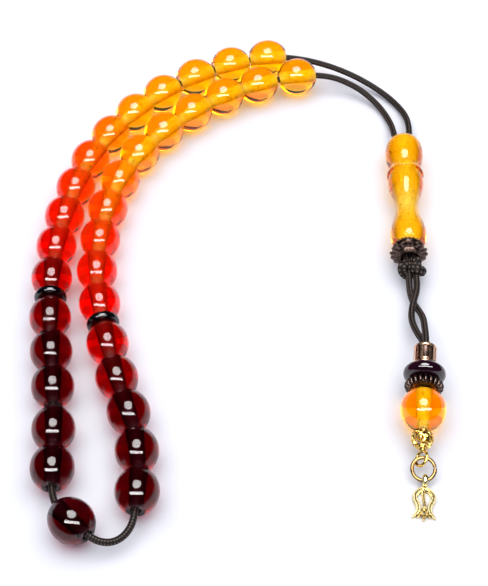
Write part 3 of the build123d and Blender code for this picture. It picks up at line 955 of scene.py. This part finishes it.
def make_ring():
    """Jump ring of heavy wire, its ends not quite shut at the right."""
    far, near = Vector(JOINTS["jump_ring"]["pos_m"]), Vector(JOINTS["tulip_charm"]["pos_m"])
    side = -Vector(JOINTS["jump_ring"]["axis"])
    along = (near - far).normalized()
    mean = (near - far).length / 2
    line = ring_line((far + near) / 2, side, along, mean, steps=80, start=0.008, stop=0.992)
    points, faces = skin(line, circle(0.475 * MM, 16))
    ring = add_mesh("jump_ring_wire", points, faces, RING_GOLD, smooth_angle=50.0)
    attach(ring, "jump_ring")
    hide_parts("jump_ring")


def band(points, width, tips=(1.0, 1.0)):
    """A flat cast stroke with an engraved line down its middle, through (across, along) points in mm."""
    line = [Vector((x * MM, y * MM, 0.0)) for x, y in curve_through(points, 7)]
    half = width * MM / 2
    thick = 1.05 * MM
    section = [
        (-half, 0.0), (half, 0.0), (half, thick - 0.22 * MM), (half - 0.16 * MM, thick), (0.14 * MM, thick),
        (0.0, thick - 0.22 * MM), (-0.14 * MM, thick), (-half + 0.16 * MM, thick), (-half, thick - 0.22 * MM),
    ]
    count = len(line)
    share = np.linspace(0, 1, count)
    widths = np.minimum(1.0, np.minimum(tips[0] + share * 5, tips[1] + (1 - share) * 5))
    side = frames_along(line, False)[1]
    rows = []
    for place, s, w in zip(line, side, widths):
        for x, z in section:
            rows.append(tuple(np.array(place) + s * x * w + np.array((0, 0, z))))
    size = len(section)
    faces = [
        (k * size + j, k * size + (j + 1) % size, (k + 1) * size + (j + 1) % size, (k + 1) * size + j)
        for k in range(count - 1) for j in range(size)
    ]
    faces.append(tuple(reversed(range(size))))
    faces.append(tuple((count - 1) * size + j for j in range(size)))
    return rows, faces


def make_charm():
    """Tulip cut from plate: two petals that curl out at their tips, a stem, a small diamond and a bail."""
    near = Vector(JOINTS["tulip_charm"]["pos_m"])
    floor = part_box("tulip_charm")[0][2]
    along = Vector((-0.10, -1.0, 0.0)).normalized()
    place = Matrix((along.cross(Vector((0, 0, 1))), along, Vector((0, 0, 1)))).transposed().to_4x4()
    place = Matrix.Translation((near.x, near.y, floor)) @ place
    top = 1.75
    parts = []
    for side in (-1, 1):
        petal = [
            (0, 0.1), (1.35, 0.75), (2.15, 2.0), (2.15, 3.3),
            (1.45, 4.9), (1.35, 6.1), (1.8, 7.2), (2.85, 8.3),
        ]
        parts.append(band([(side * x, top + y) for x, y in petal], 1.22, tips=(1.0, 0.12)))
        leaf = [(0.15, 5.9), (0.85, 6.9), (1.25, 7.7), (1.6, 8.15)]
        parts.append(band([(side * x, top + y) for x, y in leaf], 0.62, tips=(0.8, 0.15)))
        diamond = [(0, 5.35), (side * 0.75, 6.45), (side * 0.05, 7.6)]
        parts.append(band([(x, top + y) for x, y in diamond], 0.5, tips=(0.9, 0.9)))
    parts.append(band([(0.35, top + 0.2), (0.2, top + 2.6), (-0.12, top + 4.6), (-0.05, top + 5.8)], 0.72))
    parts.append(band([(-0.6, top + 7.55), (0, top + 8.2), (0, top + 9.0)], 0.6, tips=(0.5, 0.12)))
    parts.append(band([(0.6, top + 7.55), (0, top + 8.2), (0, top + 9.0)], 0.6, tips=(0.5, 0.12)))
    bail_middle = Vector((0, 0, near.z - floor))
    bail = ring_line(bail_middle, (0, 1, 0), (0, 0, 1), 1.22 * MM, steps=40)
    turns = np.linspace(0, 6.283, 13)[:-1]
    oval = [(0.36 * MM * math.cos(u), 0.60 * MM * math.sin(u)) for u in turns]
    parts.append(skin(bail, oval, closed=True))
    parts.append(band([(0, 1.2), (0, 1.6), (0, 2.1)], 1.0))
    points, faces = joined(parts)
    charm = add_mesh("tulip_charm_plate", moved(points, place), faces, PALE_GOLD, smooth_angle=30.0)
    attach(charm, "tulip_charm")
    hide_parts("tulip_charm")


# ---- floor, light and camera ---------------------------------------------------------------
def aim(thing, place, target):
    thing.location = place
    thing.rotation_euler = (Vector(target) - Vector(place)).to_track_quat("-Z", "Y").to_euler()


def make_stage():
    bpy.ops.mesh.primitive_plane_add(size=6.0, location=(0, 0, 0))
    floor = bpy.context.object
    floor.name = "floor"
    material, _, shader = new_material("pale_floor")
    shader.inputs["Base Color"].default_value = (0.80, 0.80, 0.81, 1.0)
    shader.inputs["Roughness"].default_value = 0.9
    shader.inputs["Specular IOR Level"].default_value = 0.1
    floor.data.materials.append(material)


def soft_light(name, shape, size, power, place, colour=(1, 1, 1)):
    """An area light that faces the part, out of the camera's sight."""
    data = bpy.data.lights.new(name, "AREA")
    data.shape = shape
    data.size, data.size_y = size
    data.energy = power
    data.color = colour
    light = bpy.data.objects.new(name, data)
    bpy.context.scene.collection.objects.link(light)
    aim(light, place, (0, 0, 0))
    light.visible_camera = False
    return light


def make_lights():
    """A round softbox and a bar for the pieces to mirror, and a wide fill and a pale world for the floor."""
    height = math.radians(56)
    away = Vector((0.0, -math.cos(height), math.sin(height))) * 1.15
    mirrored = [
        soft_light("round_box", "DISK", (0.72, 0.72), 15.0, (0.0, 0.05, 1.0)),
        soft_light("front_strip", "RECTANGLE", (1.5, 0.24), 20.0, away),
    ]
    for light in mirrored:
        light.visible_diffuse = False
    fill = soft_light("fill", "RECTANGLE", (1.8, 1.4), 18.0, (0.0, 0.1, 1.1), colour=(0.97, 0.98, 1.0))
    fill.visible_glossy = False
    fill.visible_transmission = False
    world = bpy.data.worlds.new("studio")
    bpy.context.scene.world = world
    world.use_nodes = True
    world.node_tree.nodes["Background"].inputs["Color"].default_value = (0.80, 0.82, 1.0, 1.0)
    world.node_tree.nodes["Background"].inputs["Strength"].default_value = 0.58
    world.cycles_visibility.glossy = False
    world.cycles_visibility.transmission = False


def make_camera():
    data = bpy.data.cameras.new("camera")
    data.sensor_width = 36.0
    data.lens = 87.3
    data.clip_start = 0.01
    camera = bpy.data.objects.new("camera", data)
    bpy.context.scene.collection.objects.link(camera)
    camera.location = (0.0026, -0.2560, 0.2959)
    camera.rotation_euler = (math.radians(40.0), 0.0, 0.0)
    bpy.context.scene.camera = camera


make_camera()
make_stage()
make_lights()
make_cords()
make_knot()
make_beads()
make_discs()
make_imame()
make_cap()
make_tube()
make_rondelle()
make_spacer()
make_ball()
make_open_ball()
make_pin()
make_ring()
make_charm()

bpy.context.scene.view_settings.view_transform = "Standard"
